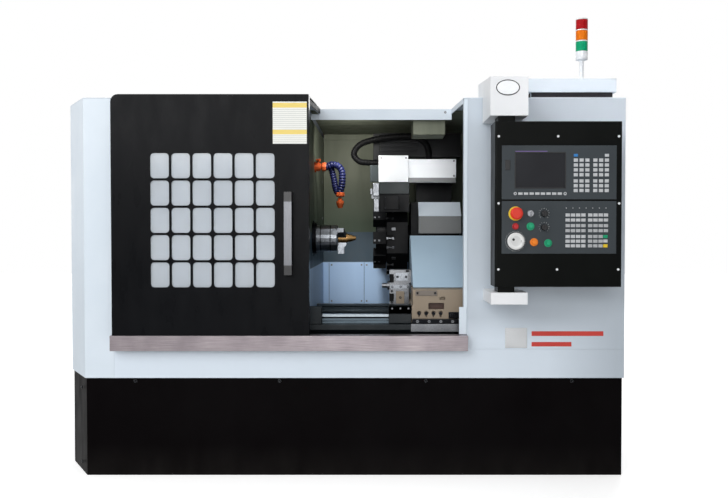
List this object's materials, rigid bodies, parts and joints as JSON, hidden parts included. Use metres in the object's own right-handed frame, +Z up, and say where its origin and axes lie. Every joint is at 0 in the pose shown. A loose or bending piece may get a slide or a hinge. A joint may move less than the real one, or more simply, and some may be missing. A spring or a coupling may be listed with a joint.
{
  "type": "cnc turning lathe",
  "caption": "Flat bed turning lathe in a sheet metal enclosure, with a sliding door, rear tool turret, chuck, swinging control pendant and signal tower.",
  "frame": {"origin": "on the floor, under the middle of the bounding box", "axes": "+X along the spindle to the operator's right, +Z up, -Y towards the operator"},
  "size_m": [2.18, 1.5, 1.8284],
  "materials": {
    "body_paint": "satin pale blue-white powder coat",
    "black_paint": "satin black powder coat",
    "white_paint": "satin white paint",
    "liner_paint": "olive grey paint",
    "casting_paint": "beige painted casting",
    "bright_steel": "ground and turned steel",
    "brushed_stainless": "brushed stainless",
    "dark_casting": "dark painted casting",
    "cover_paint": "pale blue painted sheet",
    "brass": "turned brass",
    "black_rubber": "black rubber",
    "blue_plastic": "moulded blue plastic",
    "orange_plastic": "moulded orange plastic",
    "red_plastic": "moulded red plastic",
    "green_plastic": "moulded green plastic",
    "amber_plastic": "moulded amber plastic",
    "panel_grey": "dark grey panel coat",
    "clear_pane": "clear polycarbonate",
    "screen_glass": "dark display glass",
    "handle_chrome": "satin chrome"
  },
  "bodies": {
    "machine": {"base_plinth": "black_paint", "bed_casting": "casting_paint", "front_rail": "bright_steel", "rear_rail": "bright_steel", "z_motor": "dark_casting", "left_cabinet": "body_paint", "lower_front_panel": "body_paint", "right_cabinet": "body_paint", "rear_cover": "body_paint", "roof_panel": "body_paint", "sill_strip": "brushed_stainless", "work_liner": "liner_paint", "headstock": "dark_casting", "drive_belt": "black_rubber", "spindle_motor": "dark_casting", "coolant_valve": "orange_plastic", "pendant_arm": "white_paint", "lower_bracket": "white_paint", "tower_base": "white_paint", "lens_green": "green_plastic", "lens_amber": "amber_plastic", "lens_red": "red_plastic"},
    "z_screw": {"z_screw": "bright_steel"},
    "spindle": {"spindle": "dark_casting", "chuck_body": "bright_steel", "workpiece": "brass"},
    "jaw_1": {"chuck_jaw_1": "bright_steel"},
    "jaw_2": {"chuck_jaw_2": "bright_steel"},
    "jaw_3": {"chuck_jaw_3": "bright_steel"},
    "motor_pulley": {"motor_pulley": "bright_steel"},
    "carriage": {"saddle": "casting_paint", "x_motor": "dark_casting"},
    "x_screw": {"x_screw": "bright_steel"},
    "cross_slide": {"cross_slide": "casting_paint", "boring_tool": "brushed_stainless", "slide_cover": "cover_paint", "turret_housing": "dark_casting", "turret_cover": "white_paint", "conduit": "black_rubber"},
    "turret": {"turret_disc": "bright_steel", "turning_tool": "brushed_stainless"},
    "valve_lever": {"valve_lever": "orange_plastic"},
    "hose": {"coolant_hose": "blue_plastic"},
    "nozzle": {"coolant_nozzle": "orange_plastic"},
    "door": {"door_panel": "black_paint", "door_window": "clear_pane", "door_handle": "handle_chrome"},
    "pendant": {"pendant_box": "black_paint", "upper_panel": "panel_grey", "lower_panel": "panel_grey", "screen": "screen_glass"},
    "emergency_stop": {"emergency_stop": "red_plastic"},
    "key_switch": {"key_switch": "handle_chrome"},
    "feed_knob": {"feed_knob": "black_paint"},
    "speed_knob": {"speed_knob": "black_paint"},
    "red_button": {"red_button": "red_plastic"},
    "green_button": {"green_button": "green_plastic"},
    "orange_button": {"orange_button": "orange_plastic"},
    "coolant_button": {"coolant_button": "green_plastic"},
    "handwheel": {"handwheel": "white_paint"}
  },
  "joints": [
    {"name": "door_slide", "type": "slide", "parent": "machine", "child": "door", "axis": [1, 0, 0], "range_m": [0, 0.59]},
    {"name": "spindle_turn", "type": "hinge", "parent": "machine", "child": "spindle", "pos_m": [0, -0.08, 0.905], "axis": [1, 0, 0], "continuous": true},
    {"name": "motor_turn", "type": "hinge", "parent": "machine", "child": "motor_pulley", "pos_m": [0, 0.33, 0.7], "axis": [1, 0, 0], "continuous": true},
    {"name": "jaw_1_slide", "type": "slide", "parent": "spindle", "child": "jaw_1", "axis": [0, 0, -1], "range_m": [0, 0.0055]},
    {"name": "jaw_2_slide", "type": "slide", "parent": "spindle", "child": "jaw_2", "axis": [0, 0.866, 0.5], "range_m": [0, 0.0055]},
    {"name": "jaw_3_slide", "type": "slide", "parent": "spindle", "child": "jaw_3", "axis": [0, -0.866, 0.5], "range_m": [0, 0.0055]},
    {"name": "carriage_slide", "type": "slide", "parent": "machine", "child": "carriage", "axis": [1, 0, 0], "range_m": [-0.04, 0.24]},
    {"name": "z_screw_turn", "type": "hinge", "parent": "machine", "child": "z_screw", "pos_m": [0, -0.1, 0.52], "axis": [1, 0, 0], "continuous": true},
    {"name": "cross_slide_feed", "type": "slide", "parent": "carriage", "child": "cross_slide", "axis": [0, 1, 0], "range_m": [-0.12, 0.03]},
    {"name": "x_screw_turn", "type": "hinge", "parent": "carriage", "child": "x_screw", "pos_m": [0.425, 0, 0.67], "axis": [0, 1, 0], "continuous": true},
    {"name": "turret_turn", "type": "hinge", "parent": "cross_slide", "child": "turret", "pos_m": [0, 0.25, 0.905], "axis": [1, 0, 0], "continuous": true},
    {"name": "valve_lever_turn", "type": "hinge", "parent": "machine", "child": "valve_lever", "pos_m": [-0.114, 0, 1.243], "axis": [0, 0, 1], "range_deg": [0, 90]},
    {"name": "hose_swivel", "type": "hinge", "parent": "machine", "child": "hose", "pos_m": [-0.098, 0, 1.219], "axis": [1, 0, 0], "range_deg": [-20, 20]},
    {"name": "nozzle_tilt", "type": "hinge", "parent": "hose", "child": "nozzle", "pos_m": [-0.018, 0, 1.0747], "axis": [0, 1, 0], "range_deg": [-15, 15]},
    {"name": "pendant_swing", "type": "hinge", "parent": "machine", "child": "pendant", "pos_m": [0.607, -0.66, 0.737], "axis": [0, 0, 1], "range_deg": [-90, 0]},
    {"name": "emergency_stop_press", "type": "slide", "parent": "pendant", "child": "emergency_stop", "axis": [0, 1, 0], "range_m": [0, 0.004]},
    {"name": "key_switch_turn", "type": "hinge", "parent": "pendant", "child": "key_switch", "pos_m": [0.689, -0.7183, 0.996], "axis": [0, 1, 0], "range_deg": [0, 90]},
    {"name": "feed_knob_turn", "type": "hinge", "parent": "pendant", "child": "feed_knob", "pos_m": [0.737, -0.7183, 0.996], "axis": [0, 1, 0], "range_deg": [-135, 135]},
    {"name": "speed_knob_turn", "type": "hinge", "parent": "pendant", "child": "speed_knob", "pos_m": [0.737, -0.7183, 0.9475], "axis": [0, 1, 0], "range_deg": [-135, 135]},
    {"name": "red_button_press", "type": "slide", "parent": "pendant", "child": "red_button", "axis": [0, 1, 0], "range_m": [0, 0.003], "stiffness_N_per_m": 600},
    {"name": "green_button_press", "type": "slide", "parent": "pendant", "child": "green_button", "axis": [0, 1, 0], "range_m": [0, 0.003], "stiffness_N_per_m": 600},
    {"name": "orange_button_press", "type": "slide", "parent": "pendant", "child": "orange_button", "axis": [0, 1, 0], "range_m": [0, 0.003], "stiffness_N_per_m": 600},
    {"name": "coolant_button_press", "type": "slide", "parent": "pendant", "child": "coolant_button", "axis": [0, 1, 0], "range_m": [0, 0.003], "stiffness_N_per_m": 600},
    {"name": "handwheel_turn", "type": "hinge", "parent": "pendant", "child": "handwheel", "pos_m": [0.6365, -0.7183, 0.899], "axis": [0, 1, 0], "continuous": true}
  ],
  "couplings": [
    {"joint": "motor_turn", "follows": "spindle_turn", "ratio": 1.7273},
    {"joint": "jaw_2_slide", "follows": "jaw_1_slide", "ratio": 1},
    {"joint": "jaw_3_slide", "follows": "jaw_1_slide", "ratio": 1},
    {"joint": "z_screw_turn", "follows": "carriage_slide", "rad_per_m": 628.32},
    {"joint": "x_screw_turn", "follows": "cross_slide_feed", "rad_per_m": 1256.6}
  ]
}
